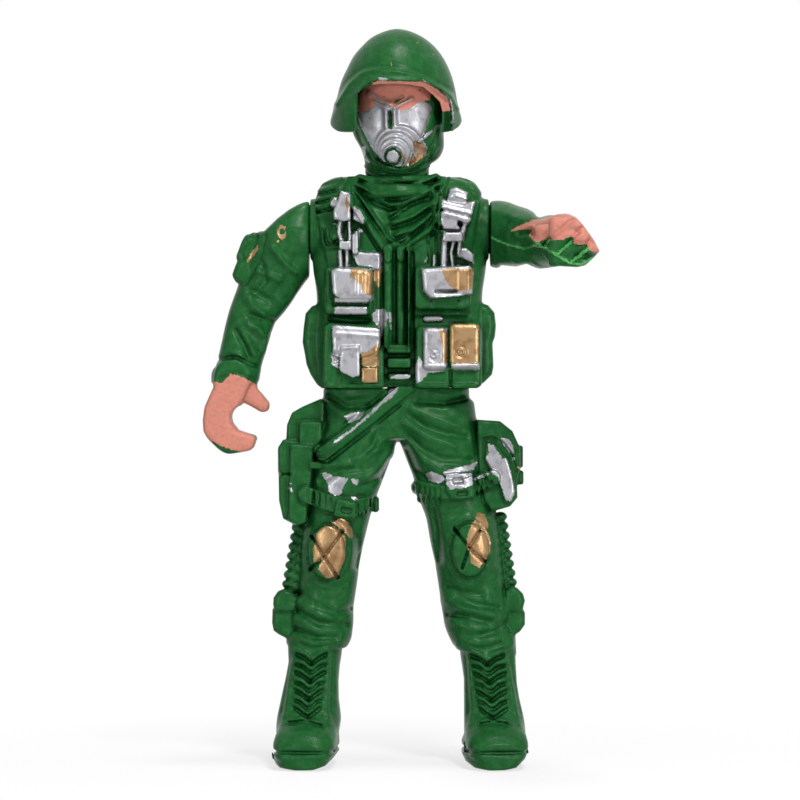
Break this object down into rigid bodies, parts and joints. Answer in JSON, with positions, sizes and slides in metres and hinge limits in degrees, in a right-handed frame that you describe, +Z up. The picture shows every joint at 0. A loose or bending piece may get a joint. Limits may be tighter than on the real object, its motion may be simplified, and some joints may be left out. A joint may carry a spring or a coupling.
{
  "type": "toy soldier figure",
  "caption": "Moulded standing figure in helmet, respirator and pouched vest, with turning head, arms and waist and open hands that grip a rod.",
  "frame": {"origin": "on the floor, below the middle of the outline of the whole figure at rest", "axes": "+Z up, the chest faces -Y, +X towards the figure's left hand"},
  "size_m": [0.0536, 0.0408, 0.0999],
  "materials": {
    "green_plastic": "glossy moulded green with sprayed silver, gold and flesh paint",
    "peg_plastic": "black moulded, satin"
  },
  "bodies": {
    "lower_body": {"legs": "green_plastic", "waist_peg": "peg_plastic"},
    "upper_body": {"torso_front": "green_plastic", "torso_back": "green_plastic"},
    "head": {"head": "green_plastic", "helmet": "green_plastic", "neck_peg": "peg_plastic"},
    "arm_right": {"arm_right": "green_plastic", "shoulder_peg_right": "peg_plastic"},
    "arm_left": {"arm_left": "green_plastic", "shoulder_peg_left": "peg_plastic"}
  },
  "joints": [
    {"name": "waist", "type": "hinge", "parent": "lower_body", "child": "upper_body", "pos_m": [0, 0.01011, 0.0515], "axis": [0, 0, 1], "continuous": true},
    {"name": "neck", "type": "hinge", "parent": "upper_body", "child": "head", "pos_m": [-0.00035, 0.01011, 0.0795], "axis": [0, 0, 1], "continuous": true},
    {"name": "shoulder_right", "type": "hinge", "parent": "upper_body", "child": "arm_right", "pos_m": [-0.0123, 0.01011, 0.0728], "axis": [1, 0, 0], "continuous": true},
    {"name": "shoulder_left", "type": "hinge", "parent": "upper_body", "child": "arm_left", "pos_m": [0.0123, 0.01011, 0.0728], "axis": [1, 0, 0], "continuous": true}
  ]
}
